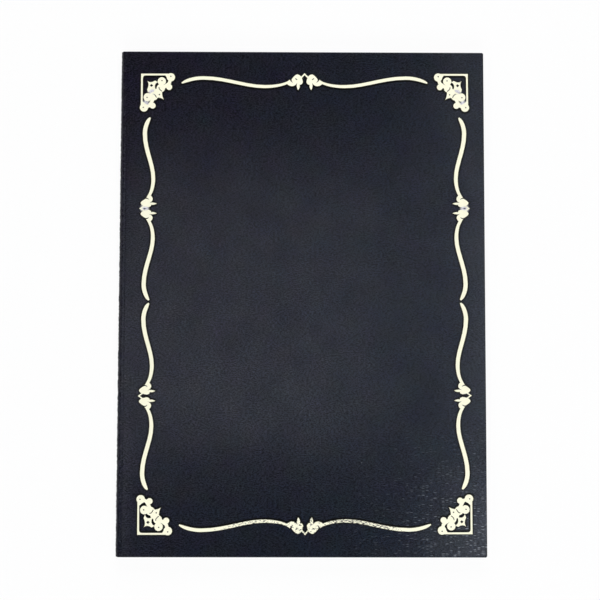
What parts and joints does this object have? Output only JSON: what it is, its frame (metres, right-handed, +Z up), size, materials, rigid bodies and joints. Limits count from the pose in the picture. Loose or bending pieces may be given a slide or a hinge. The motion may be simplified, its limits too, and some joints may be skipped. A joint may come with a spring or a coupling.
{
  "type": "certificate holder",
  "caption": "Folding certificate holder: leatherette-covered boards on a square spine, a lined inside with ribbon corners for an A4 sheet, and a gilt scroll border on the front.",
  "frame": {"origin": "middle of the closed holder's box, on the surface that its back cover lies on", "axes": "+X from the spine to the opening edge, +Y to the head of the cover, +Z up out of the front cover"},
  "size_m": [0.225, 0.31, 0.0087],
  "materials": {
    "leatherette": "fine-grained, dull",
    "greyboard": "uncoated",
    "lining": "watered silk texture",
    "ribbon": "satin",
    "gilt_foil": "hot-stamped foil"
  },
  "bodies": {
    "back_cover": {"back_leatherette": "leatherette", "back_board": "greyboard", "back_infill_card": "greyboard", "back_hinge_strip": "leatherette", "back_lining": "lining", "corner_ribbon_top_left": "ribbon", "corner_ribbon_top_right": "ribbon", "corner_ribbon_bottom_left": "ribbon", "corner_ribbon_bottom_right": "ribbon"},
    "spine": {"spine_leatherette": "leatherette", "spine_stiffener": "greyboard", "spine_lining": "leatherette"},
    "front_cover": {"front_leatherette": "leatherette", "front_board": "greyboard", "front_infill_card": "greyboard", "front_hinge_strip": "leatherette", "front_lining": "lining", "gilt_corner_top_left": "gilt_foil", "gilt_corner_top_right": "gilt_foil", "gilt_corner_bottom_left": "gilt_foil", "gilt_corner_bottom_right": "gilt_foil", "gilt_scroll_top": "gilt_foil", "gilt_scroll_bottom": "gilt_foil", "gilt_scroll_left_upper": "gilt_foil", "gilt_scroll_left_lower": "gilt_foil", "gilt_scroll_right_upper": "gilt_foil", "gilt_scroll_right_lower": "gilt_foil"}
  },
  "joints": [
    {"name": "spine_fold", "type": "hinge", "parent": "back_cover", "child": "spine", "pos_m": [-0.1122, 0, 0.0003], "axis": [0, -1, 0], "range_deg": [0, 90]},
    {"name": "cover_fold", "type": "hinge", "parent": "spine", "child": "front_cover", "pos_m": [-0.1122, 0, 0.00825], "axis": [0, -1, 0], "range_deg": [0, 90]}
  ]
}
